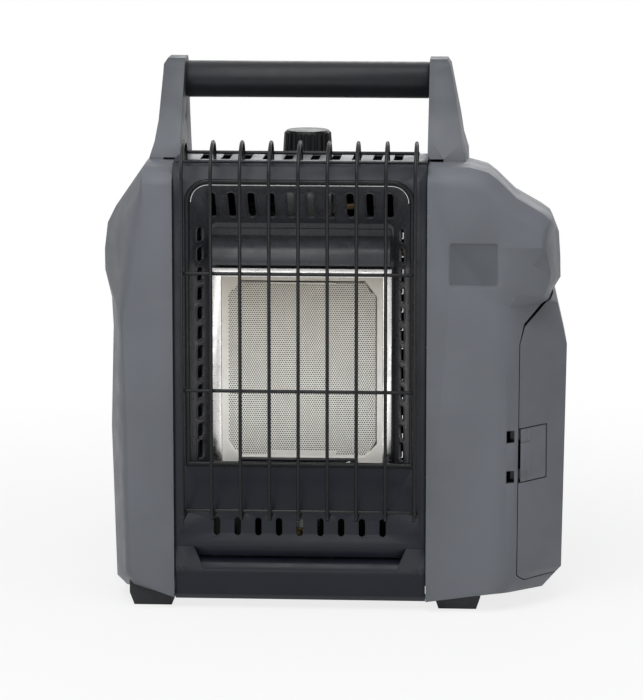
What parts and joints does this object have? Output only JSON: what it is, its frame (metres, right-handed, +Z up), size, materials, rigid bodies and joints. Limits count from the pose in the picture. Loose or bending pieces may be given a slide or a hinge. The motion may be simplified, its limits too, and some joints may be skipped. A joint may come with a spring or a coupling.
{
  "type": "portable propane heater",
  "caption": "Portable radiant propane heater with a wire guard, ceramic burner, top handle and knob, and a side door over the fuel cylinder bay.",
  "frame": {"origin": "middle of the bounding box at floor level, where the feet stand", "axes": "-Y is the front with the wire guard, +Z is up, +X is towards the fuel door"},
  "size_m": [0.3318, 0.22, 0.387],
  "materials": {
    "shell": "fine moulded grain",
    "panel": "semi-gloss dark enamel",
    "black_metal": "semi-gloss black",
    "black_plastic": "satin",
    "grip": "satin foam rubber",
    "rubber": "matte",
    "stainless": "brushed",
    "steel": "zinc plated",
    "brass": "turned",
    "ceramic": "porous, cream",
    "white_ceramic": "glazed",
    "fibre": "ceramic fibre felt",
    "aluminium": "cast"
  },
  "bodies": {
    "root": {"left_front_cover": "shell", "right_front_cover": "shell", "left_rear_shell": "shell", "right_rear_shell": "shell", "back_panel": "black_plastic", "top_deck": "black_plastic", "top_grille": "panel", "front_panel": "panel", "lower_apron": "panel", "base_tray": "black_metal", "rubber_feet": "rubber", "foot_screws": "steel", "handle_grip": "grip", "handle_tube": "steel", "guard_upright_wires": "black_metal", "guard_cross_wires": "black_metal", "reflector_pan": "black_metal", "heat_hood": "black_metal", "burner_frame": "stainless", "ceramic_tile": "ceramic", "tile_bar": "black_metal", "burner_gasket": "fibre", "burner_plenum": "steel", "burner_screws": "steel", "venturi_tube": "aluminium", "gas_jet": "brass", "burner_gas_tube": "brass", "pilot_bracket": "steel", "pilot_burner": "brass", "pilot_gas_tube": "brass", "thermocouple": "steel", "spark_electrode": "white_ceramic", "ignition_lead": "black_plastic", "piezo_igniter": "black_plastic", "control_valve": "aluminium", "knob_bezel": "black_plastic", "deck_screws": "steel", "regulator": "aluminium", "cylinder_inlet": "brass", "regulator_bracket": "steel", "supply_tube": "brass", "bay_heat_shield": "steel", "back_panel_screws": "steel", "cover_screws": "steel", "tip_switch_housing": "white_ceramic"},
    "knob_collar": {"valve_push_collar": "steel"},
    "knob": {"control_knob": "black_plastic", "valve_stem": "steel"},
    "door": {"fuel_door": "shell", "door_hinge_pins": "steel"},
    "latch": {"door_latch": "shell"},
    "tip_pendulum": {"tip_switch_pendulum": "steel"}
  },
  "joints": [
    {"name": "knob_press", "type": "slide", "parent": "root", "child": "knob_collar", "axis": [0, 0, -1], "range_m": [0, 0.003], "stiffness_N_per_m": 2000},
    {"name": "knob_turn", "type": "hinge", "parent": "knob_collar", "child": "knob", "pos_m": [-0.023, 0.012, 0.32], "axis": [0, 0, 1], "range_deg": [0, 210]},
    {"name": "door_swing", "type": "hinge", "parent": "root", "child": "door", "pos_m": [0.1525, 0.067, 0.12], "axis": [0, 0, 1], "range_deg": [0, 100]},
    {"name": "latch_flex", "type": "hinge", "parent": "door", "child": "latch", "pos_m": [0.1515, -0.0476, 0.113], "axis": [0, 0, -1], "range_deg": [0, 3], "stiffness_Nm_per_rad": 2},
    {"name": "tip_swing", "type": "hinge", "parent": "root", "child": "tip_pendulum", "pos_m": [-0.085, 0.067, 0.04155], "axis": [0, 1, 0], "range_deg": [-20, 20]}
  ]
}
